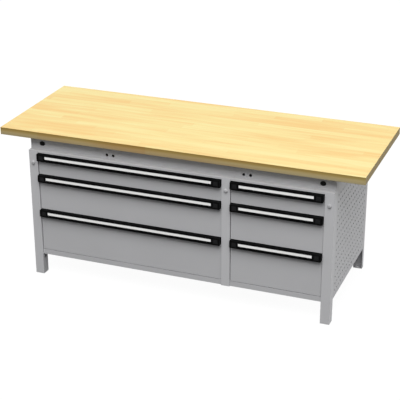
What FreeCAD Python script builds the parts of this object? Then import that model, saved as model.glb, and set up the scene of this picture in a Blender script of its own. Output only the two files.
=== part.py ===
# Steel workbench with a thick wooden top, a wide and a narrow column of three drawers each,
# telescopic runners, and a lock bar for each column. Lengths are in millimetres.
# The origin is on the floor, under the middle of the bench with its handles. +Z is up, the drawers
# open towards -Y, and +X is on the right of someone who faces the drawers.
import FreeCAD, Part
import math
import os

# Whole bench
overall_height = 850.0
top_depth = 750.0
top_thickness = 40.0
top_edge_round = 1.2
end_overhang = 154.0
front_overhang = 19.0
rear_overhang = 19.0
floor_gap = 126.0

# Folded sheet that the frame and the panels are made of
frame_sheet = 2.0
panel_sheet = 1.5

# Head frame between the body and the top, set back from the posts, with a lip over each column
head_height = 75.0
head_recess = 30.0
head_lip = 10.0
head_flange = 40.0
head_side_flange = 20.0
head_foot_flange = 22.0

# Legs, open channels that face each other
leg_width = 50.0
front_leg_depth = 50.0
rear_leg_depth = 30.0
foot_plate = 3.0
anchor_hole_radius = 4.5
leg_hole_radius = 10.0
leg_hole_drop = 26.0

# Sill under the drawers, in line with their fronts, the two columns, and the post between them
sill_height = 24.0
sill_depth = 22.0
sill_lip = 4.5
post_width = 46.0
post_depth = 50.0
left_bay_width = 1050.0
right_bay_width = 496.0

# Square holes of the side panels
perforation_pitch = 38.0
perforation_size = 10.0
perforation_margin = 24.0

# Paired round holes in the front of the head frame
rail_hole_radius = 8.0
rail_hole_spacing = 37.0
rail_hole_offset = 380.0
rail_hole_drop = 55.0

# Drawer fronts, set back between the posts
top_front_height = 119.0
middle_front_height = 201.0
front_setback = 8.0
front_gap = 3.0
top_gap = 5.0
side_gap = 3.0
front_return = 10.0

# Drawer boxes
runner_space = 20.0
box_rear_space = 60.5
box_drop = 8.0
box_rise = 10.0
box_rim = 8.0

# Handles, hooked profiles with a groove for a label strip
handle_height = 44.0
handle_depth = 26.0
handle_wall = 2.5
handle_rise = 2.0
handle_end_margin = 0.5
handle_top_round = 4.0
handle_lip_round = 10.0
cap_length = 48.0
cap_corner_round = 9.0
cap_recess_size = 27.0
cap_recess_depth = 2.0
cap_recess_round = 5.0
cap_disc_radius = 8.0
label_height = 15.0
label_drop = 9.0
label_groove = 1.2
label_thickness = 0.8

# Telescopic runners
runner_height = 46.0
runner_sheet = 2.0
runner_play = 0.5
runner_rise = 30.0
fixed_flange = 9.0
runner_setback = 10.0
rail_rear_gap = 4.0

# Locks: barrel, plug, cam with its pin, and the bar that the pin lifts
lock_inset = 19.0
lock_drop = 41.5
bezel_width = 30.0
bezel_height = 24.0
bezel_thickness = 2.5
barrel_radius = 9.0
barrel_reach = 10.0
barrel_fit = 0.3
nut_radius = 12.5
nut_thickness = 3.0
plug_radius = 6.0
plug_play = 0.08
plug_proud = 0.5
key_slot_width = 1.6
key_slot_height = 8.0
key_slot_depth = 5.0
cam_thickness = 2.5
cam_gap = 0.3
cam_hub_radius = 7.0
cam_throw = 16.0
pin_rest_angle = 45.0
pin_radius = 2.0
pin_play = 0.8
bar_setback = 4.0
bar_thickness = 3.0
bar_width = 20.0
bar_play = 0.5
fork_wall = 4.0
fork_clearance = 1.0
finger_height = 10.0
finger_lift_off = 4.0
finger_reach = 14.0
catch_reach = 12.0
catch_gap = 1.0
catch_thickness = 3.0

# Fasteners
post_screw_drop = 68.0
post_screw_head_radius = 10.0
post_screw_head_height = 8.0
post_screw_head_round = 5.0
post_screw_radius = 4.0
post_screw_length = 14.0
post_nut_radius = 6.5
post_nut_thickness = 4.0
top_screw_head_radius = 7.0
top_screw_head_height = 5.0
top_screw_radius = 4.0
top_screw_depth = 28.0
top_screw_shares = (-0.86, -0.3, 0.3, 0.86)
screw_fit = 0.1

# Cuts run past what they cut by this much
overrun = 1.0

# Places that follow from the sizes above
half_base = (left_bay_width + post_width + right_bay_width) / 2 + leg_width
half_top = half_base + end_overhang
top_front_y = -top_depth / 2
front_y = top_front_y + front_overhang
rear_y = top_depth / 2 - rear_overhang
head_z = overall_height - top_thickness
body_top_z = head_z - head_height
post_top_z = body_top_z - frame_sheet
sill_top_z = floor_gap + sill_height
sill_low_z = floor_gap - sill_lip
web_y = front_y + head_recess
web_rear_y = web_y + frame_sheet
leg_inner_x = half_base - leg_width
leg_middle_x = half_base - leg_width / 2
post_left_x = left_bay_width - leg_inner_x
post_right_x = post_left_x + post_width
bottom_z = floor_gap + frame_sheet
back_y = rear_y - panel_sheet
face_y = front_y + front_setback
box_y = face_y + panel_sheet
box_rear_y = rear_y - box_rear_space
runner_y = face_y + front_return + runner_setback

bays = {
    "left": (-leg_inner_x, post_left_x),
    "right": (post_right_x, leg_inner_x),
}
lock_sides = {"left": -1, "right": 1}

front_tops = {"top": body_top_z - head_lip - top_gap}
front_tops["middle"] = front_tops["top"] - top_front_height - front_gap
front_tops["bottom"] = front_tops["middle"] - middle_front_height - front_gap
front_heights = {
    "top": top_front_height,
    "middle": middle_front_height,
    "bottom": front_tops["bottom"] - front_gap - sill_top_z,
}

lock_x = leg_inner_x - lock_inset
lock_z = head_z - lock_drop
bar_y = web_rear_y + bar_setback
cam_y = web_rear_y + barrel_reach + cam_gap
pin_drop = cam_throw * math.sin(math.radians(pin_rest_angle))
pin_side = cam_throw * math.cos(math.radians(pin_rest_angle))
bar_lift = 2 * pin_drop
post_screw_z = post_top_z - post_screw_drop


def block(x_span, y_span, z_span):
    """A box between two values on each axis, given in any order."""
    low = FreeCAD.Vector(min(x_span), min(y_span), min(z_span))
    high = FreeCAD.Vector(max(x_span), max(y_span), max(z_span))
    size = high - low
    return Part.makeBox(size.x, size.y, size.z, low)


def rod_y(radius, x, z, y_span):
    """A cylinder along Y."""
    start = FreeCAD.Vector(x, min(y_span), z)
    return Part.makeCylinder(radius, max(y_span) - min(y_span), start, FreeCAD.Vector(0, 1, 0))


def rod_z(radius, x, y, z_span):
    """A cylinder along Z."""
    start = FreeCAD.Vector(x, y, min(z_span))
    return Part.makeCylinder(radius, max(z_span) - min(z_span), start, FreeCAD.Vector(0, 0, 1))


def rod_x(radius, y, z, x_span):
    """A cylinder along X."""
    start = FreeCAD.Vector(min(x_span), y, z)
    return Part.makeCylinder(radius, max(x_span) - min(x_span), start, FreeCAD.Vector(1, 0, 0))


def join(shapes):
    """One solid made of shapes that touch or overlap."""
    result = shapes[0]
    if len(shapes) > 1:
        result = result.fuse(shapes[1:])
    return result.removeSplitter()


def mirrored(shape):
    """The same shape on the other side of the middle plane."""
    return shape.mirror(FreeCAD.Vector(0, 0, 0), FreeCAD.Vector(1, 0, 0))


def on_side(shape, side):
    """The shape as drawn on the right, or its mirror image on the left."""
    if side < 0:
        return mirrored(shape)
    return shape


def save(name, shapes):
    """Write the separate solids of one sub-part to its own file."""
    solids = []
    for shape in shapes:
        solids.extend(shape.Solids)
    result = solids[0]
    if len(solids) > 1:
        result = Part.makeCompound(solids)
    result.exportStep("parts/" + name + ".step")


def outline_face(points):
    """A flat face from a closed outline. A point may be followed by the middle of an arc."""
    edges = []
    count = len(points)
    index = 0
    while index < count:
        kind, here = points[index]
        step = 1
        if points[(index + 1) % count][0] == "through":
            middle = points[(index + 1) % count][1]
            after = points[(index + 2) % count][1]
            edges.append(Part.Arc(here, middle, after).toShape())
            step = 2
        else:
            after = points[(index + 1) % count][1]
            edges.append(Part.LineSegment(here, after).toShape())
        index += step
    return Part.Face(Part.Wire(edges))


def runner_middle_z(row):
    """Height of a drawer's runners."""
    return front_tops[row] - front_heights[row] + box_rise + runner_rise


def finger_rest_z(row):
    """Lower edge of a lock finger while its drawers are free."""
    return runner_middle_z(row) + runner_height / 2 + finger_lift_off


def top_screw_places():
    """Where the screws go up into the wooden top."""
    places = []
    for share in top_screw_shares:
        places.append((share * (half_base - head_side_flange), web_rear_y + head_flange / 2))
        places.append((share * (half_base - head_side_flange), rear_y - head_flange / 2))
    return places


def make_worktop():
    """Wooden top with eased edges and blind bores for its screws."""
    top = block((-half_top, half_top), (top_front_y, top_front_y + top_depth),
                (head_z, overall_height))
    top = top.makeFillet(top_edge_round, top.Edges)
    for x, y in top_screw_places():
        top = top.cut(rod_z(top_screw_radius + screw_fit, x, y,
                            (head_z - overrun, head_z + top_screw_depth + screw_fit)))
    return top


def make_front_head_rail():
    """Folded rail under the front of the top, with its lock holes and paired holes."""
    rail_span = (-half_base, half_base)
    inner_span = (-half_base + head_side_flange, half_base - head_side_flange)
    web = block(rail_span, (web_y, web_rear_y), (post_top_z, head_z))
    shelf = block(rail_span, (front_y, web_rear_y), (post_top_z, body_top_z))
    flange = block(inner_span, (web_y, web_rear_y + head_flange), (head_z - frame_sheet, head_z))
    lips = [block(bay, (front_y, front_y + frame_sheet), (body_top_z - head_lip, body_top_z))
            for bay in bays.values()]
    rail = join([web, shelf, flange] + lips)
    for side in (-1, 1):
        rail = rail.cut(rod_y(barrel_radius + barrel_fit, side * lock_x, lock_z,
                              (web_y - overrun, web_rear_y + overrun)))
        for offset in (-rail_hole_spacing / 2, rail_hole_spacing / 2):
            rail = rail.cut(rod_y(rail_hole_radius, side * rail_hole_offset + offset,
                                  head_z - rail_hole_drop, (web_y - overrun, web_rear_y + overrun)))
    return with_top_screw_holes(rail)


def make_rear_head_rail():
    """Folded rail under the back of the top."""
    inner_span = (-half_base + head_side_flange, half_base - head_side_flange)
    web = block((-half_base, half_base), (rear_y - frame_sheet, rear_y), (post_top_z, head_z))
    foot = block(inner_span, (rear_y - head_foot_flange, rear_y), (post_top_z, body_top_z))
    flange = block(inner_span, (rear_y - head_flange, rear_y), (head_z - frame_sheet, head_z))
    return with_top_screw_holes(join([web, foot, flange]))


def with_top_screw_holes(rail):
    """The rail with clear holes for the screws of the top."""
    for x, y in top_screw_places():
        rail = rail.cut(rod_z(top_screw_radius + screw_fit, x, y,
                              (head_z - frame_sheet - overrun, head_z + overrun)))
    return rail


def make_side_head_rail():
    """Channel under the right end of the top."""
    length_span = (web_rear_y, rear_y - frame_sheet)
    outside = block((half_base - head_side_flange, half_base), length_span, (post_top_z, head_z))
    inside = block((half_base - head_side_flange - overrun, half_base - frame_sheet),
                   length_span, (body_top_z, head_z - frame_sheet))
    return outside.cut(inside)


def make_front_leg():
    """Right front leg: a closed foot, and above it a channel with slots for the lock fingers."""
    y_span = (front_y, front_y + front_leg_depth)
    inner_span = (leg_inner_x + frame_sheet, half_base - frame_sheet)
    leg = block((leg_inner_x, half_base), y_span, (0, post_top_z))
    leg = leg.cut(block(inner_span, (front_y + frame_sheet, y_span[1] - frame_sheet),
                        (foot_plate, post_top_z + overrun)))
    leg = leg.cut(block(inner_span, (front_y + frame_sheet, y_span[1] + overrun),
                        (floor_gap, post_top_z + overrun)))
    middle_y = front_y + front_leg_depth / 2
    leg = leg.cut(rod_z(anchor_hole_radius, leg_middle_x, middle_y, (-overrun, foot_plate + overrun)))
    flange_span = (leg_inner_x - overrun, leg_inner_x + frame_sheet + overrun)
    leg = leg.cut(rod_x(leg_hole_radius, middle_y, floor_gap - leg_hole_drop, flange_span))
    for row in front_tops:
        low = finger_rest_z(row) - bar_play
        high = finger_rest_z(row) + finger_height + bar_lift + bar_play
        leg = leg.cut(block(flange_span, (bar_y - bar_play, bar_y + bar_thickness + bar_play),
                            (low, high)))
    return leg.cut(post_screw_hole(leg_middle_x))


def make_rear_leg():
    """Right rear leg, shallower and open to the front."""
    y_span = (rear_y - rear_leg_depth, rear_y)
    leg = block((leg_inner_x, half_base), y_span, (0, post_top_z))
    leg = leg.cut(block((leg_inner_x + frame_sheet, half_base - frame_sheet),
                        (y_span[0] - overrun, rear_y - frame_sheet),
                        (foot_plate, post_top_z + overrun)))
    return leg.cut(rod_z(anchor_hole_radius, leg_middle_x, rear_y - rear_leg_depth / 2,
                         (-overrun, foot_plate + overrun)))


def post_screw_hole(x):
    """What is cut from a post for its screw."""
    return rod_y(post_screw_radius + screw_fit, x, post_screw_z,
                 (front_y - overrun, front_y + frame_sheet + overrun))


def make_centre_post():
    """Channel between the two columns of drawers, down to the underside of the body."""
    post = block((post_left_x, post_right_x), (front_y, front_y + post_depth),
                 (sill_low_z, post_top_z))
    post = post.cut(block((post_left_x + frame_sheet, post_right_x - frame_sheet),
                          (front_y + frame_sheet, front_y + post_depth + overrun),
                          (sill_low_z - overrun, post_top_z + overrun)))
    return post.cut(post_screw_hole((post_left_x + post_right_x) / 2))


def make_centre_partition():
    """Double wall behind the centre post, folded from one sheet."""
    floor_z = bottom_z + panel_sheet
    wall = block((post_left_x, post_right_x), (front_y + post_depth, back_y),
                 (floor_z, post_top_z))
    return wall.cut(block((post_left_x + panel_sheet, post_right_x - panel_sheet),
                          (front_y + post_depth - overrun, back_y - panel_sheet),
                          (floor_z - overrun, post_top_z + overrun)))


def make_side_panel():
    """Right side panel between the legs, with a grid of square holes."""
    y_span = (front_y + front_leg_depth, rear_y - rear_leg_depth)
    x_span = (half_base - panel_sheet, half_base)
    panel = block(x_span, y_span, (floor_gap, post_top_z))
    width = y_span[1] - y_span[0]
    height = post_top_z - floor_gap
    columns = 1 + int((width - 2 * perforation_margin - perforation_size) // perforation_pitch)
    rows = 1 + int((height - 2 * perforation_margin - perforation_size) // perforation_pitch)
    first_y = (y_span[0] + y_span[1] - (columns - 1) * perforation_pitch - perforation_size) / 2
    first_z = (floor_gap + post_top_z - (rows - 1) * perforation_pitch - perforation_size) / 2
    holes = []
    for column in range(columns):
        low_y = first_y + column * perforation_pitch
        for row in range(rows):
            low_z = first_z + row * perforation_pitch
            holes.append(block((x_span[0] - overrun, x_span[1] + overrun),
                               (low_y, low_y + perforation_size),
                               (low_z, low_z + perforation_size)))
    return panel.cut(Part.makeCompound(holes))


def make_back_panel():
    """Sheet that closes the back between the rear legs."""
    return block((-leg_inner_x, leg_inner_x), (back_y, rear_y), (floor_gap, post_top_z))


def make_bottom_panel():
    """Floor sheet, notched round the four legs and the centre post."""
    reach = half_base - panel_sheet
    panel = block((-reach, reach), (face_y + frame_sheet, back_y),
                  (bottom_z, bottom_z + panel_sheet))
    notch_z = (bottom_z - overrun, bottom_z + panel_sheet + overrun)
    panel = panel.cut(block((post_left_x, post_right_x), (front_y, front_y + post_depth), notch_z))
    for side in (-1, 1):
        corner = (side * leg_inner_x, side * (half_base + overrun))
        panel = panel.cut(block(corner, (front_y, front_y + front_leg_depth), notch_z))
        panel = panel.cut(block(corner, (rear_y - rear_leg_depth, rear_y), notch_z))
    return panel


def make_bottom_sills():
    """Channels under the drawers, between the posts, each with a lip below its lower flange."""
    sills = []
    for bay in bays.values():
        y_span = (face_y, face_y + sill_depth)
        web = block(bay, (face_y, face_y + frame_sheet), (sill_low_z, sill_top_z))
        upper = block(bay, y_span, (sill_top_z - frame_sheet, sill_top_z))
        lower = block(bay, y_span, (floor_gap, floor_gap + frame_sheet))
        sills.append(join([web, upper, lower]))
    return sills


def make_frame_screws():
    """Round-headed screws and nuts on the posts, and screws that hold the top."""
    solids = []
    for x in (-leg_middle_x, (post_left_x + post_right_x) / 2, leg_middle_x):
        head = rod_y(post_screw_head_radius, x, post_screw_z,
                     (front_y - post_screw_head_height, front_y))
        rim = [edge for edge in head.Edges
               if edge.BoundBox.YMax < front_y - post_screw_head_height / 2]
        head = head.makeFillet(post_screw_head_round, rim)
        shank = rod_y(post_screw_radius, x, post_screw_z,
                      (front_y - post_screw_head_height / 2, front_y + post_screw_length))
        nut_y = front_y + frame_sheet
        nut = rod_y(post_nut_radius, x, post_screw_z, (nut_y, nut_y + post_nut_thickness))
        nut = nut.cut(rod_y(post_screw_radius + screw_fit, x, post_screw_z,
                            (nut_y - overrun, nut_y + post_nut_thickness + overrun)))
        solids.extend([join([head, shank]), nut])
    seat_z = head_z - frame_sheet
    for x, y in top_screw_places():
        head = rod_z(top_screw_head_radius, x, y, (seat_z - top_screw_head_height, seat_z))
        shank = rod_z(top_screw_radius, x, y, (seat_z - overrun, head_z + top_screw_depth))
        solids.append(join([head, shank]))
    return solids


def runner_profile(wall_x, inward, row, member):
    """One member of a runner. Its fixed side is at wall_x, and inward points at the drawer."""
    middle_z = runner_middle_z(row)
    half = runner_height / 2
    web_x = fixed_flange + runner_play

    def across(near, far):
        return (wall_x + inward * near, wall_x + inward * far)

    def upright(half_height):
        return (middle_z - half_height, middle_z + half_height)

    if member == "fixed":
        y_span = (runner_y, rear_y - rail_rear_gap)
        body = block(across(0, fixed_flange), y_span, upright(half))
        pocket = across(runner_sheet, fixed_flange + overrun)
        return body.cut(block(pocket, y_span, upright(half - runner_sheet)))
    y_span = (runner_y, box_rear_y)
    if member == "carriage":
        outer = half - runner_sheet - runner_play
        near = runner_sheet + runner_play
        far = runner_space - runner_sheet - runner_play
        body = block(across(near, far), y_span, upright(outer))
        body = body.cut(block(across(near - overrun, web_x), y_span,
                              upright(outer - runner_sheet)))
        return body.cut(block(across(web_x + runner_sheet, far + overrun), y_span,
                              upright(outer - runner_sheet)))
    outer = half - 2 * (runner_sheet + runner_play)
    near = web_x + runner_sheet + runner_play
    body = block(across(near, runner_space), y_span, upright(outer))
    return body.cut(block(across(near - overrun, runner_space - runner_sheet), y_span,
                          upright(outer - runner_sheet)))


def runner_pair(bay, row, member):
    """The left and right copies of one runner member."""
    low_x, high_x = bays[bay]
    return [runner_profile(low_x, 1, row, member), runner_profile(high_x, -1, row, member)]


def make_drawer_box(bay, row):
    """Open steel box of five sheets, its rims folded in, with its runner members and lock catch."""
    low_x, high_x = bays[bay]
    x_span = (low_x + runner_space, high_x - runner_space)
    inner_span = (x_span[0] + panel_sheet, x_span[1] - panel_sheet)
    rim_span = (x_span[0] + box_rim, x_span[1] - box_rim)
    low_z = front_tops[row] - front_heights[row] + box_rise
    high_z = front_tops[row] - box_drop
    rim_z = (high_z - panel_sheet, high_z)
    side_y = (box_y + panel_sheet, box_rear_y - panel_sheet)
    sheets = [block(inner_span, side_y, (low_z, low_z + panel_sheet))]
    for wall_x, inward in ((x_span[0], 1), (x_span[1], -1)):
        wall = block((wall_x, wall_x + inward * panel_sheet), side_y, (low_z, high_z))
        rim = block((wall_x, wall_x + inward * box_rim), side_y, rim_z)
        sheets.append(join([wall, rim]))
    for wall_y, inward in ((box_y, 1), (box_rear_y, -1)):
        wall = block(x_span, (wall_y, wall_y + inward * panel_sheet), (low_z, high_z))
        rim = block(rim_span, (wall_y, wall_y + inward * box_rim), rim_z)
        sheets.append(join([wall, rim]))
    side = lock_sides[bay]
    catch_y = bar_y + bar_thickness + catch_gap
    catch_z = finger_rest_z(row) + bar_lift
    catch_x = side * (leg_inner_x - runner_space)
    catch = block((catch_x, catch_x + side * catch_reach), (catch_y, catch_y + catch_thickness),
                  (catch_z, catch_z + finger_height))
    return sheets + [catch] + runner_pair(bay, row, "drawer")


def front_span(bay):
    """Left and right edges of a drawer front."""
    low_x, high_x = bays[bay]
    return (low_x + side_gap, high_x - side_gap)


def make_drawer_front(bay, row):
    """Folded tray that faces the drawer."""
    low_x, high_x = front_span(bay)
    high_z = front_tops[row]
    low_z = high_z - front_heights[row]
    tray = block((low_x, high_x), (face_y, face_y + front_return), (low_z, high_z))
    return tray.cut(block((low_x + panel_sheet, high_x - panel_sheet),
                          (face_y + panel_sheet, face_y + front_return + overrun),
                          (low_z + panel_sheet, high_z - panel_sheet)))


def handle_point(x, out, down, row):
    """A point at a distance in front of the drawer front and below the handle's top edge."""
    return FreeCAD.Vector(x, face_y - out, front_tops[row] + handle_rise - down)


def handle_section(x, row):
    """Hooked section of a handle, with its label groove, as a face across X."""
    wall = handle_wall
    depth = handle_depth
    height = handle_height
    top_round = handle_top_round
    lip = handle_lip_round
    diagonal = math.sqrt(0.5)
    groove_low = label_drop + label_height

    def at(out, down):
        return handle_point(x, out, down, row)

    points = [
        ("line", at(0, 0)),
        ("line", at(depth - top_round, 0)),
        ("through", at(depth - top_round * (1 - diagonal), top_round * (1 - diagonal))),
        ("line", at(depth, top_round)),
        ("line", at(depth, label_drop)),
        ("line", at(depth - label_groove, label_drop)),
        ("line", at(depth - label_groove, groove_low)),
        ("line", at(depth, groove_low)),
        ("line", at(depth, height - lip)),
        ("through", at(depth - lip * (1 - diagonal), height - lip * (1 - diagonal))),
        ("line", at(depth - lip, height)),
        ("line", at(depth - lip, height - wall)),
        ("through", at(depth - lip + (lip - wall) * diagonal,
                       height - lip + (lip - wall) * diagonal)),
        ("line", at(depth - wall, height - lip)),
        ("line", at(depth - wall, wall)),
        ("line", at(wall, wall)),
        ("line", at(wall, height)),
        ("line", at(0, height)),
    ]
    return outline_face(points)


def handle_span(bay):
    """Left and right ends of a handle, caps included."""
    low_x, high_x = front_span(bay)
    return (low_x + handle_end_margin, high_x - handle_end_margin)


def make_handle(bay, row):
    """Handle profile between its two caps."""
    low_x, high_x = handle_span(bay)
    length = high_x - low_x - 2 * cap_length
    return handle_section(low_x + cap_length, row).extrude(FreeCAD.Vector(length, 0, 0))


def make_label(bay, row):
    """Label strip in the groove of the handle."""
    low_x, high_x = handle_span(bay)
    seat_y = face_y - handle_depth + label_groove
    high_z = front_tops[row] + handle_rise - label_drop
    return block((low_x + cap_length, high_x - cap_length), (seat_y - label_thickness, seat_y),
                 (high_z - label_height, high_z))


def cap_section(x, row):
    """Solid outline of a handle cap, as a face across X."""
    depth = handle_depth
    height = handle_height
    top_round = handle_top_round
    lip = handle_lip_round
    diagonal = math.sqrt(0.5)

    def at(out, down):
        return handle_point(x, out, down, row)

    points = [
        ("line", at(0, 0)),
        ("line", at(depth - top_round, 0)),
        ("through", at(depth - top_round * (1 - diagonal), top_round * (1 - diagonal))),
        ("line", at(depth, top_round)),
        ("line", at(depth, height - lip)),
        ("through", at(depth - lip * (1 - diagonal), height - lip * (1 - diagonal))),
        ("line", at(depth - lip, height)),
        ("line", at(0, height)),
    ]
    return outline_face(points)


def make_caps(bay, row):
    """The two end caps of a handle, each with a shallow square recess and a disc in it."""
    solids = []
    top_z = front_tops[row] + handle_rise
    cap_y = face_y - handle_depth
    for end_x, inward in zip(handle_span(bay), (1, -1)):
        cap = cap_section(end_x, row).extrude(FreeCAD.Vector(inward * cap_length, 0, 0))
        corner = block((end_x, end_x + inward * cap_corner_round),
                       (face_y, cap_y - overrun),
                       (top_z - handle_height - overrun, top_z - handle_height + cap_corner_round))
        corner = corner.cut(rod_y(cap_corner_round, end_x + inward * cap_corner_round,
                                  top_z - handle_height + cap_corner_round,
                                  (cap_y - 2 * overrun, face_y + overrun)))
        cap = cap.cut(corner)
        middle_x = end_x + inward * cap_length / 2
        middle_z = top_z - (handle_height - handle_lip_round + handle_top_round) / 2
        half = cap_recess_size / 2
        recess = block((middle_x - half, middle_x + half),
                       (cap_y - overrun, cap_y + cap_recess_depth),
                       (middle_z - half, middle_z + half))
        along_y = [edge for edge in recess.Edges
                   if edge.BoundBox.YLength > cap_recess_depth]
        recess = recess.makeFillet(cap_recess_round, along_y)
        disc = rod_y(cap_disc_radius, middle_x, middle_z, (cap_y, cap_y + cap_recess_depth))
        solids.append(join([cap.cut(recess), disc]))
    return solids


def make_lock_barrel(side):
    """Oval bezel with its threaded barrel, and the nut behind the rail."""
    x = side * lock_x
    half_straight = (bezel_width - bezel_height) / 2
    radius = bezel_height / 2
    bezel_y = (web_y - bezel_thickness, web_y)
    bezel = join([
        block((x - half_straight, x + half_straight), bezel_y, (lock_z - radius, lock_z + radius)),
        rod_y(radius, x - half_straight, lock_z, bezel_y),
        rod_y(radius, x + half_straight, lock_z, bezel_y),
    ])
    barrel = rod_y(barrel_radius, x, lock_z,
                   (web_y - bezel_thickness / 2, web_rear_y + barrel_reach))
    bore = rod_y(plug_radius + plug_play, x, lock_z,
                 (bezel_y[0] - overrun, web_rear_y + barrel_reach + overrun))
    nut = rod_y(nut_radius, x, lock_z, (web_rear_y, web_rear_y + nut_thickness))
    nut = nut.cut(rod_y(barrel_radius + screw_fit, x, lock_z,
                        (web_rear_y - overrun, web_rear_y + nut_thickness + overrun)))
    return [join([bezel, barrel]).cut(bore), nut]


def make_lock_plug():
    """Plug of the right lock with its key slot, and the cam whose pin lifts the bar."""
    plug_y = web_y - bezel_thickness - plug_proud
    plug = rod_y(plug_radius, lock_x, lock_z, (plug_y, cam_y))
    plug = plug.cut(block((lock_x - key_slot_width / 2, lock_x + key_slot_width / 2),
                          (plug_y - overrun, plug_y + key_slot_depth),
                          (lock_z - key_slot_height / 2, lock_z + key_slot_height / 2)))
    hub_y = (cam_y, cam_y + cam_thickness)
    pin_x = lock_x + pin_side
    pin_z = lock_z - pin_drop
    pin_end_radius = pin_radius + pin_play
    hub = rod_y(cam_hub_radius, lock_x, lock_z, hub_y)
    tip = rod_y(pin_end_radius + pin_play, pin_x, pin_z, hub_y)
    arm = block((lock_x, lock_x + cam_throw), hub_y,
                (lock_z - pin_end_radius, lock_z + pin_end_radius))
    arm.rotate(FreeCAD.Vector(lock_x, cam_y, lock_z), FreeCAD.Vector(0, 1, 0), pin_rest_angle)
    pin = rod_y(pin_radius, pin_x, pin_z, (bar_y - bar_play, cam_y + cam_thickness / 2))
    return [plug, join([hub, tip, arm, pin])]


def make_lock_bar():
    """Right lock bar: a strip in the front leg, a fork for the pin and a finger for each drawer."""
    y_span = (bar_y, bar_y + bar_thickness)
    strip_x = leg_inner_x + frame_sheet + bar_play
    slot_half = pin_radius + pin_play
    fork_half = slot_half + fork_wall
    fork_z = lock_z - pin_drop
    low_z = finger_rest_z("bottom") - finger_height / 2
    strip = block((strip_x, strip_x + bar_width), y_span, (low_z, fork_z + fork_half))
    fork_x = lock_x + barrel_radius + fork_clearance
    fork = block((fork_x, strip_x + bar_width), y_span, (fork_z - fork_half, fork_z + fork_half))
    slot_end = lock_x + cam_throw + pin_radius + pin_play
    fork = fork.cut(block((fork_x - overrun, slot_end), (y_span[0] - overrun, y_span[1] + overrun),
                          (fork_z - slot_half, fork_z + slot_half)))
    pieces = [strip, fork]
    for row in front_tops:
        low = finger_rest_z(row)
        pieces.append(block((leg_inner_x - finger_reach, strip_x + bar_width / 2), y_span,
                            (low, low + finger_height)))
    return join(pieces)


def build():
    """Make every sub-part and write it to its own file."""
    os.makedirs("parts", exist_ok=True)
    save("worktop", [make_worktop()])
    save("head_rail_front", [make_front_head_rail()])
    save("head_rail_rear", [make_rear_head_rail()])
    save("head_rail_sides", [on_side(make_side_head_rail(), side) for side in (-1, 1)])
    for name, side in lock_sides.items():
        save("leg_front_" + name, [on_side(make_front_leg(), side)])
        save("leg_rear_" + name, [on_side(make_rear_leg(), side)])
        save("side_panel_" + name, [on_side(make_side_panel(), side)])
        save("lock_plug_" + name, [on_side(piece, side) for piece in make_lock_plug()])
        save("lock_bar_" + name, [on_side(make_lock_bar(), side)])
    save("lock_barrels", make_lock_barrel(-1) + make_lock_barrel(1))
    save("centre_post", [make_centre_post()])
    save("centre_partition", [make_centre_partition()])
    save("back_panel", [make_back_panel()])
    save("bottom_panel", [make_bottom_panel()])
    save("bottom_sills", make_bottom_sills())
    save("frame_screws", make_frame_screws())
    for bay in bays:
        rails = []
        for row in front_tops:
            drawer = bay + "_" + row + "_"
            rails.extend(runner_pair(bay, row, "fixed"))
            save(drawer + "box", make_drawer_box(bay, row))
            save(drawer + "front", [make_drawer_front(bay, row)])
            save(drawer + "handle", [make_handle(bay, row)])
            save(drawer + "caps", make_caps(bay, row))
            save(drawer + "label", [make_label(bay, row)])
            save(drawer + "carriage", runner_pair(bay, row, "carriage"))
        save("cabinet_rails_" + bay, rails)


build()
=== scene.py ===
import math

import bpy
from mathutils import Matrix, Vector


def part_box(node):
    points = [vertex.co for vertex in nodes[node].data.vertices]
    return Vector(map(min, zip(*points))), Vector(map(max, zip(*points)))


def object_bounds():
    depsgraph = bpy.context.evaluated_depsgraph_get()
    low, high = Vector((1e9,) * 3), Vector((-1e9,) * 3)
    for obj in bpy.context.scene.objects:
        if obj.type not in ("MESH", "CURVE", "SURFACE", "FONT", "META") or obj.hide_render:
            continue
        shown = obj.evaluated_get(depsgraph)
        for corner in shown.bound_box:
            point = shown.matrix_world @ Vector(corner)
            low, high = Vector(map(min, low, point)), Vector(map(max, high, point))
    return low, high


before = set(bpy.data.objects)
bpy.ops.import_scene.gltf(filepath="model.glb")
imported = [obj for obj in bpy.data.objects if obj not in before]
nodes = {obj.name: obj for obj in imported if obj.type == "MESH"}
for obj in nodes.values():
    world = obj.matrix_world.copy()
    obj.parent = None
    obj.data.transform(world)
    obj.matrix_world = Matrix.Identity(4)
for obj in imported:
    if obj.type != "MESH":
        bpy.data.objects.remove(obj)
cad_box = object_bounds()

# Words in the pieces' names. A bay is a column of drawers.
sides = bays = ("left", "right")
rows = ("top", "middle", "bottom")

# Camera, as fitted to the edges of the bench in the photograph.
# Lens and sensor in millimetres, place and reach in metres, angles in degrees.
camera_lens = 109.714
camera_sensor = 36.0
camera_place = (2.2050, -5.7069, 3.1084)
camera_turn = 21.133
camera_pitch = 23.683
camera_roll = -0.184
camera_reach = 100.0

# Lamps, in watts, metres and degrees. Azimuth 0 is in front of the bench, and 90 on its right.
# The back lamp is low and isn't mirrored, so that it lights the rear legs and not the worktop.
lamps = {
    "key": {"power": 2060.0, "size": 10.0, "distance": 15.0, "elevation": 57.0, "azimuth": 15.0},
    "fill": {"power": 430.0, "size": 8.0, "distance": 12.0, "elevation": 18.0, "azimuth": 112.0},
    "back": {"power": 420.0, "size": 4.0, "distance": 12.0, "elevation": 8.0, "azimuth": 228.0,
             "mirrored": False},
}

# World: its strength where it lights the bench, and where it is seen
world_strength = 0.40
white_strength = 1.0

# Floor: its grey where it throws light on the bench. Where it is seen it is mostly glow, over
# a grey that takes the bench's shadow.
floor_size = 60.0
floor_bounce = 0.02
floor_pale = 0.8
floor_glow = 0.92
floor_glow_strength = 1.04

# Rays that show a surface to the eye, in a mirror or through glass
seen_kinds = ("Is Camera Ray", "Is Glossy Ray", "Is Transmission Ray")

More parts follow.
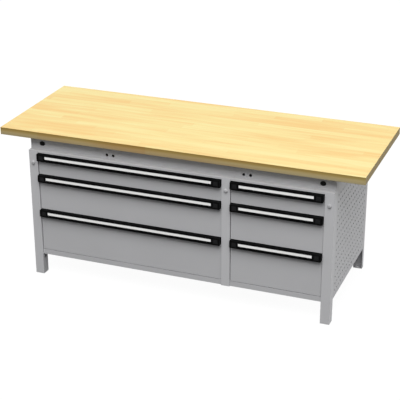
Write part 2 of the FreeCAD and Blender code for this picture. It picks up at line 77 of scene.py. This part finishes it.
# Worktop: staves along X with glued seams between them, in metres. Each row's joints are
# shifted by up to joint_shift stave lengths, and each stave's grain by up to grain_shift metres.
worktop_low, worktop_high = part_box("worktop")
stave_count = 17
stave_width = (worktop_high[1] - worktop_low[1]) / stave_count
stave_length = 0.62
seam_half = 0.0003
joint_shift = 7.0
grain_shift = 9.0

# A pore is where its noise is below pore_limit, and a face is an edge or an end by whether its
# normal along Z or X is below or above normal_limit.
pore_limit = 0.34
normal_limit = 0.6

# Wood colours as display values, 0 to 255, with their positions on the ramps. A share is how
# much of a colour is laid over the grain.
long_grain_tones = [(0.40, (230, 194, 127)), (0.475, (231, 204, 139)),
                    (0.53, (232, 211, 146)), (0.60, (233, 217, 155))]
end_grain_tones = [(0.32, (128, 108, 60)), (0.50, (140, 120, 68)), (0.66, (152, 132, 80))]
pore_tone, pore_share = (196, 146, 92), 0.08
seam_tone, seam_share = (168, 120, 72), 0.22
end_seam_tone, end_seam_share = (120, 88, 54), 0.4

# What multiplies the grain's colour on the long edges, from the worktop's top to its underside
edge_factors = [(0.0, (0.41, 0.34, 0.20)), (0.15, (0.44, 0.375, 0.245)),
                (0.3, (0.50, 0.445, 0.325)), (0.55, (0.60, 0.575, 0.60)),
                (1.0, (0.49, 0.49, 0.63))]

# Paint and label colours as display values
body_grey = (195, 195, 197)
# Painted light: the legs and centre post take the body's powder coat made lighter, for the fuller
# light on them than on the fronts under the handles.
painted_light_leg_grey = (203, 203, 205)
box_grey = (190, 190, 192)
screw_grey = (182, 182, 184)
label_tones = [(0.3, (250, 250, 249)), (0.7, (253, 253, 252))]

# Metal and plastic colours as linear numbers
zinc_tone = (0.62, 0.63, 0.65)
profile_black = (0.0018, 0.0018, 0.002)
moulding_black = (0.002, 0.002, 0.0022)
# A painted highlight: the caps' recess is given a lighter black than the rest, for light caught by
# its relief.
painted_recess_highlight = (0.018, 0.018, 0.019)
coating_black = (0.003, 0.003, 0.003)

# Recess in a handle cap, where its painted highlight goes: its middle from the cap's end and from
# its top, and its half width
cap_middle_in = 0.024
cap_middle_down = 0.019
cap_recess_half = 0.0132

# Rounding of folded sheet in metres, and the least angle in degrees that counts as a fold
fold_width = 0.0016
fold_segments = 2
fold_angle = 40.0


def srgb(values):
    """A colour written in display values, 0 to 255, as linear numbers."""
    shares = [value / 255 for value in values]
    return tuple(v / 12.92 if v <= 0.04045 else ((v + 0.055) / 1.055) ** 2.4 for v in shares)


def empty_tree(owner):
    """The node tree of a material or world, without its first nodes."""
    owner.use_nodes = True
    owner.node_tree.nodes.clear()
    return owner.node_tree


def add(tree, kind, settings=None, inputs=None):
    """A shader node with its settings, and its inputs linked or set."""
    made = tree.nodes.new(kind)
    for key, value in (settings or {}).items():
        setattr(made, key, value)
    for key, value in (inputs or {}).items():
        socket = made.inputs[key]
        if isinstance(value, bpy.types.NodeSocket):
            tree.links.new(value, socket)
        else:
            socket.default_value = value
    return made


def calc(tree, operation, *values):
    """The result of a Math node."""
    return add(tree, "ShaderNodeMath", {"operation": operation}, dict(enumerate(values))).outputs[0]


def chain(tree, operation, values):
    """The result of one operation over a list of values."""
    result = values[0]
    for value in values[1:]:
        result = calc(tree, operation, result, value)
    return result


def weigh(tree, *pairs):
    """The sum of values, each times its weight."""
    return chain(tree, "ADD", [calc(tree, "MULTIPLY", value, weight) for value, weight in pairs])


def between(tree, value, low, high):
    """A number that goes from low to high as a value goes from 0 to 1."""
    return calc(tree, "MULTIPLY_ADD", value, high - low, low)


def split(tree, vector):
    """The three numbers of a vector."""
    return add(tree, "ShaderNodeSeparateXYZ", None, {"Vector": vector}).outputs


def noise(tree, vector, scale, detail, roughness, distortion=0.0):
    """The value of a noise texture."""
    return add(tree, "ShaderNodeTexNoise", None, {
        "Vector": vector, "Scale": scale, "Detail": detail, "Roughness": roughness,
        "Distortion": distortion}).outputs["Fac"]


def streaks(tree, vector, scales, detail, roughness, distortion=0.0):
    """The value of a noise texture that has a different scale on each axis."""
    stretched = add(tree, "ShaderNodeVectorMath", {"operation": "MULTIPLY"}, {0: vector, 1: scales})
    return noise(tree, stretched.outputs[0], 1.0, detail, roughness, distortion)


def ramp(tree, value, stops):
    """A colour ramp. Stops are (position, colour) pairs."""
    made = add(tree, "ShaderNodeValToRGB", None, {"Fac": value})
    elements = made.color_ramp.elements
    while len(elements) < len(stops):
        elements.new(0.5)
    for element, (position, colour) in zip(elements, stops):
        element.position = position
        element.color = (*colour, 1.0)
    return made.outputs["Color"]


def display_ramp(tree, value, stops):
    """A colour ramp with its colours in display values."""
    return ramp(tree, value, [(position, srgb(colour)) for position, colour in stops])


def uneven(tree, value, colour, spread, low, high):
    """A colour that goes from a little darker to a little lighter as a value goes low to high."""
    dark = tuple(c * (1 - spread) for c in colour)
    light = tuple(c * (1 + spread) for c in colour)
    return ramp(tree, value, [(low, dark), (high, light)])


def mix(tree, factor, first, second, blend="MIX"):
    """Two colours mixed. The second may be three linear numbers."""
    if not isinstance(second, bpy.types.NodeSocket):
        second = (*second, 1.0)
    settings = {"data_type": "RGBA", "blend_type": blend}
    return add(tree, "ShaderNodeMix", settings, {0: factor, 6: first, 7: second}).outputs[2]


def lay_over(tree, colour, mask, share, tone):
    """A colour with a share of another over it, in display values, where a mask is 1."""
    return mix(tree, calc(tree, "MULTIPLY", mask, share), colour, srgb(tone))


def shader_material(name, settings):
    """A new material with one principled shader, and its texture coordinates."""
    made = bpy.data.materials.new(name)
    tree = empty_tree(made)
    shader = add(tree, "ShaderNodeBsdfPrincipled", None, settings)
    add(tree, "ShaderNodeOutputMaterial", None, {"Surface": shader.outputs[0]})
    return made, tree, shader, add(tree, "ShaderNodeTexCoord").outputs


def surface(tree, shader, colour, roughness, height, depth, strength):
    """Link the colour, the roughness and a bump of that depth in metres to the shader."""
    relief = add(tree, "ShaderNodeBump", None, {
        "Height": height, "Distance": depth, "Strength": strength}).outputs["Normal"]
    for name, socket in (("Base Color", colour), ("Roughness", roughness), ("Normal", relief)):
        tree.links.new(socket, shader.inputs[name])


def wood_material():
    """Beech staves along X, glued side by side, with toned long edges and end grain."""
    settings = {"IOR": 1.5, "Specular IOR Level": 0.15}
    made, tree, shader, coords = shader_material("beech_staves", settings)
    place = coords["Object"]
    x, y, z = split(tree, place)
    normal = split(tree, coords["Normal"])

    across = calc(tree, "DIVIDE", y, stave_width)
    row = calc(tree, "FLOOR", across)
    shift = add(tree, "ShaderNodeTexWhiteNoise", {"noise_dimensions": "1D"}, {"W": row})
    shift = calc(tree, "MULTIPLY", shift.outputs["Value"], joint_shift)
    along = calc(tree, "ADD", calc(tree, "DIVIDE", x, stave_length), shift)
    stave = add(tree, "ShaderNodeCombineXYZ", None, {"X": row, "Y": calc(tree, "FLOOR", along)})
    chance = add(tree, "ShaderNodeTexWhiteNoise", {"noise_dimensions": "3D"},
                 {"Vector": stave.outputs[0]})
    moved = add(tree, "ShaderNodeVectorMath", {"operation": "MULTIPLY_ADD"},
                {0: chance.outputs["Color"], 1: (grain_shift,) * 3, 2: place}).outputs[0]

    def seam(position, length):
        """1 near the seams between staves of that width or length, and 0 elsewhere."""
        middle = calc(tree, "SUBTRACT", calc(tree, "FRACT", position), 0.5)
        return calc(tree, "GREATER_THAN", calc(tree, "ABSOLUTE", middle), 0.5 - seam_half / length)

    seams = calc(tree, "MAXIMUM", seam(across, stave_width), seam(along, stave_length))

    band = streaks(tree, place, (0.9, 8.0, 8.0), detail=2.0, roughness=0.5, distortion=0.4)
    streak = streaks(tree, place, (2.6, 42.0, 42.0), detail=3.0, roughness=0.5, distortion=0.6)
    lines = streaks(tree, moved, (5.0, 210.0, 210.0), detail=4.0, roughness=0.6, distortion=0.3)
    specks = streaks(tree, moved, (90.0, 1500.0, 1500.0), detail=2.0, roughness=0.5)
    pores = calc(tree, "LESS_THAN", specks, pore_limit)
    grain = weigh(tree, (band, 0.46), (streak, 0.32), (lines, 0.12),
                  (chance.outputs["Value"], 0.10))
    long_grain = display_ramp(tree, grain, long_grain_tones)
    long_grain = lay_over(tree, long_grain, pores, pore_share, pore_tone)
    long_grain = lay_over(tree, long_grain, seams, seam_share, seam_tone)

    rings = streaks(tree, moved, (0.0, 120.0, 420.0), detail=3.0, roughness=0.6, distortion=1.5)
    end_grain = display_ramp(tree, rings, end_grain_tones)
    end_grain = lay_over(tree, end_grain, seams, end_seam_share, end_seam_tone)

    down = calc(tree, "DIVIDE", calc(tree, "SUBTRACT", worktop_high[2], z),
                worktop_high[2] - worktop_low[2])
    edge_grain = mix(tree, 1.0, long_grain, ramp(tree, down, edge_factors), "MULTIPLY")
    on_edge = calc(tree, "LESS_THAN", calc(tree, "ABSOLUTE", normal["Z"]), normal_limit)
    on_end = calc(tree, "GREATER_THAN", calc(tree, "ABSOLUTE", normal["X"]), normal_limit)
    colour = mix(tree, on_end, mix(tree, on_edge, long_grain, edge_grain), end_grain)

    height = weigh(tree, (lines, 0.6), (pores, -0.4), (seams, -0.8))
    surface(tree, shader, colour, between(tree, lines, 0.40, 0.56), height,
            depth=0.00012, strength=0.6)
    return made


def paint_material(name, tone):
    """Powder coat: fine pebbled texture, and a faint unevenness of tone and gloss."""
    settings = {"IOR": 1.5, "Specular IOR Level": 0.12}
    made, tree, shader, coords = shader_material(name, settings)
    place = coords["Object"]
    cloud = noise(tree, place, scale=2.6, detail=3.0, roughness=0.6)
    speck = noise(tree, place, scale=900.0, detail=2.0, roughness=0.6)
    pebbles = noise(tree, place, scale=650.0, detail=2.0, roughness=0.5)
    value = weigh(tree, (cloud, 0.8), (speck, 0.2))
    colour = uneven(tree, value, srgb(tone), spread=0.02, low=0.35, high=0.65)
    surface(tree, shader, colour, between(tree, cloud, 0.42, 0.52), pebbles,
            depth=0.00008, strength=0.5)
    return made


def in_recess(tree, place):
    """1 in the square recess of each handle cap, and 0 elsewhere."""
    across, high = [], []
    for bay in bays:
        low_corner, high_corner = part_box(bay + "_top_caps")
        across += [low_corner[0] + cap_middle_in, high_corner[0] - cap_middle_in]
    for row in rows:
        high.append(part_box("left_" + row + "_caps")[1][2] - cap_middle_down)

    def nearest(value, middles):
        """The distance of a value from the nearest of some others."""
        away = [calc(tree, "SUBTRACT", value, middle) for middle in middles]
        return chain(tree, "MINIMUM", [calc(tree, "ABSOLUTE", step) for step in away])

    xyz = split(tree, place)
    far = calc(tree, "MAXIMUM", nearest(xyz["X"], across), nearest(xyz["Z"], high))
    return calc(tree, "LESS_THAN", far, cap_recess_half)


def plastic_material(name, tone, roughness, grain_scale, shine, drawn=0.0, painted_highlight_tone=None):
    """Black plastic or coating with a fine grain. drawn is the height of drawing lines along X,
    for an extrusion, and the recess colour, when given, is a painted highlight: a lighter tone in
    the handle caps' recess for light caught by its relief."""
    settings = {"IOR": 1.48, "Specular IOR Level": shine}
    made, tree, shader, coords = shader_material(name, settings)
    place = coords["Object"]
    cloud = noise(tree, place, scale=9.0, detail=2.0, roughness=0.5)
    colour = uneven(tree, cloud, tone, spread=0.15, low=0.3, high=0.7)
    # Painted highlight: a lighter tone in the caps' recess, for light caught by its relief.
    if painted_highlight_tone:
        colour = mix(tree, in_recess(tree, place), colour, painted_highlight_tone)
    grain = noise(tree, place, grain_scale, detail=2.0, roughness=0.5)
    lines = streaks(tree, place, (3.0, 900.0, 900.0), detail=2.0, roughness=0.5)
    height = weigh(tree, (grain, 1.0), (lines, drawn))
    surface(tree, shader, colour, between(tree, grain, roughness - 0.06, roughness + 0.06),
            height, depth=0.00006, strength=0.5)
    return made


def label_material():
    """White label strip: paper with faint fibres, under a clear film."""
    settings = {"IOR": 1.5, "Coat Weight": 1.0, "Coat Roughness": 0.10, "Coat IOR": 1.9}
    made, tree, shader, coords = shader_material("label_paper", settings)
    fibres = streaks(tree, coords["Object"], (300.0, 300.0, 900.0), detail=3.0, roughness=0.6,
                     distortion=0.6)
    surface(tree, shader, display_ramp(tree, fibres, label_tones),
            between(tree, fibres, 0.45, 0.55), fibres, depth=0.00002, strength=0.4)
    return made


def zinc_material():
    """Zinc plate with rolling lines along Y and a cloudy tone."""
    made, tree, shader, coords = shader_material("zinc_plate", {"Metallic": 1.0})
    place = coords["Object"]
    lines = streaks(tree, place, (500.0, 3.0, 500.0), detail=3.0, roughness=0.6)
    cloud = noise(tree, place, scale=18.0, detail=3.0, roughness=0.6)
    value = weigh(tree, (lines, 0.4), (cloud, 0.6))
    colour = uneven(tree, value, zinc_tone, spread=0.08, low=0.3, high=0.7)
    surface(tree, shader, colour, between(tree, value, 0.32, 0.52), lines,
            depth=0.00003, strength=0.4)
    return made


def seen_rays(tree):
    """1 for the rays of seen_kinds, and 0 for those that light the bench."""
    path = add(tree, "ShaderNodeLightPath")
    return chain(tree, "MAXIMUM", [path.outputs[kind] for kind in seen_kinds])


def choose(tree, factor, first, second):
    """The first shader at 0, the second at 1, and a blend of both between."""
    return add(tree, "ShaderNodeMixShader", None, {0: factor, 1: first, 2: second}).outputs[0]


def floor_material():
    """Pale floor that is white to the eye and keeps a faint shadow of the bench."""
    made = bpy.data.materials.new("studio_floor")
    tree = empty_tree(made)
    dark, pale = (add(tree, "ShaderNodeBsdfDiffuse", None, {
        "Color": (grey, grey, grey, 1.0)}).outputs[0] for grey in (floor_bounce, floor_pale))
    glow = add(tree, "ShaderNodeEmission", None, {
        "Color": (1.0, 1.0, 1.0, 1.0), "Strength": floor_glow_strength}).outputs[0]
    chosen = choose(tree, seen_rays(tree), dark, choose(tree, floor_glow, pale, glow))
    add(tree, "ShaderNodeOutputMaterial", None, {"Surface": chosen})
    return made


def make_world():
    """White surroundings for the eye, and plain soft light for the bench."""
    world = bpy.data.worlds.new("studio")
    tree = empty_tree(world)
    soft, white = (add(tree, "ShaderNodeBackground", None, {
        "Color": (1.0, 1.0, 1.0, 1.0), "Strength": strength}).outputs[0]
        for strength in (world_strength, white_strength))
    chosen = choose(tree, seen_rays(tree), soft, white)
    add(tree, "ShaderNodeOutputWorld", None, {"Surface": chosen})
    bpy.context.scene.world = world


def make_floor():
    """Plain pale floor."""
    bpy.ops.mesh.primitive_plane_add(size=floor_size, location=(0.0, 0.0, 0.0))
    floor = bpy.context.object
    floor.name = "floor"
    floor.data.materials.append(floor_material())


def make_lamp(name, power, size, distance, elevation, azimuth, mirrored=True):
    """A large soft lamp that faces the middle of the bench."""
    data = bpy.data.lights.new(name, "AREA")
    data.shape = "SQUARE"
    data.size = size
    data.energy = power
    lamp = bpy.data.objects.new(name, data)
    lamp.visible_glossy = mirrored
    high, aside = math.radians(elevation), math.radians(azimuth)
    away = Vector((math.cos(high) * math.sin(aside), -math.cos(high) * math.cos(aside),
                   math.sin(high)))
    middle = (Vector(cad_box[0]) + Vector(cad_box[1])) / 2
    lamp.location = middle + distance * away
    lamp.rotation_euler = away.to_track_quat("Z", "Y").to_euler()
    bpy.context.scene.collection.objects.link(lamp)


def make_camera():
    """The photograph's viewpoint."""
    data = bpy.data.cameras.new("camera")
    data.lens = camera_lens
    data.sensor_width = camera_sensor
    data.clip_end = camera_reach
    camera = bpy.data.objects.new("camera", data)
    turn = Matrix.Rotation(math.radians(camera_turn), 4, "Z")
    pitch = Matrix.Rotation(math.radians(90 - camera_pitch), 4, "X")
    roll = Matrix.Rotation(math.radians(camera_roll), 4, "Z")
    camera.matrix_world = Matrix.Translation(camera_place) @ turn @ pitch @ roll
    bpy.context.scene.collection.objects.link(camera)
    bpy.context.scene.camera = camera


def dress(material, *names):
    """Give CAD nodes their material."""
    for name in names:
        piece = nodes[name]
        if not piece.material_slots:
            piece.data.materials.append(material)
        for holder in piece.material_slots:
            holder.material = material


def round_folds(*names):
    """Round the folded and cut edges of CAD nodes a little."""
    for name in names:
        made = nodes[name].modifiers.new("edges", "BEVEL")
        made.width = fold_width
        made.segments = fold_segments
        made.limit_method = "ANGLE"
        made.angle_limit = math.radians(fold_angle)


make_camera()
make_world()
make_floor()
for lamp_name, lamp_values in lamps.items():
    make_lamp(lamp_name, **lamp_values)

body_paint = paint_material("powder_coat", body_grey)
# Painted light: a lighter copy of the body's powder coat for the legs and centre post.
painted_light_leg_paint = paint_material("powder_coat_painted_light_legs", painted_light_leg_grey)
box_paint = paint_material("powder_coat_boxes", box_grey)
zinc = zinc_material()
label_paper = label_material()
handle_plastic = plastic_material("black_profile", profile_black, roughness=0.38,
                                  grain_scale=500.0, shine=0.02, drawn=0.8)
cap_plastic = plastic_material("black_moulding", moulding_black, roughness=0.34,
                               grain_scale=900.0, shine=0.03, painted_highlight_tone=painted_recess_highlight)
lock_coat = plastic_material("black_coating", coating_black, roughness=0.35,
                             grain_scale=1200.0, shine=0.06)

dress(wood_material(), "worktop")
dress(body_paint, "head_rail_front", "head_rail_rear", "head_rail_sides", "centre_partition",
      "back_panel", "bottom_panel", "bottom_sills")
dress(painted_light_leg_paint, "centre_post")
dress(lock_coat, "lock_barrels")
dress(paint_material("coated_screws", screw_grey), "frame_screws")
for side in sides:
    dress(body_paint, "side_panel_" + side)
    dress(painted_light_leg_paint, "leg_front_" + side, "leg_rear_" + side)
    dress(zinc, "cabinet_rails_" + side, "lock_bar_" + side)
    dress(lock_coat, "lock_plug_" + side)
for bay in bays:
    for row in rows:
        drawer = bay + "_" + row + "_"
        dress(box_paint, drawer + "box")
        dress(body_paint, drawer + "front")
        dress(handle_plastic, drawer + "handle")
        dress(cap_plastic, drawer + "caps")
        dress(label_paper, drawer + "label")
        dress(zinc, drawer + "carriage")
round_folds("leg_front_left", "leg_front_right", "centre_post")

bpy.context.scene.view_settings.view_transform = "Standard"
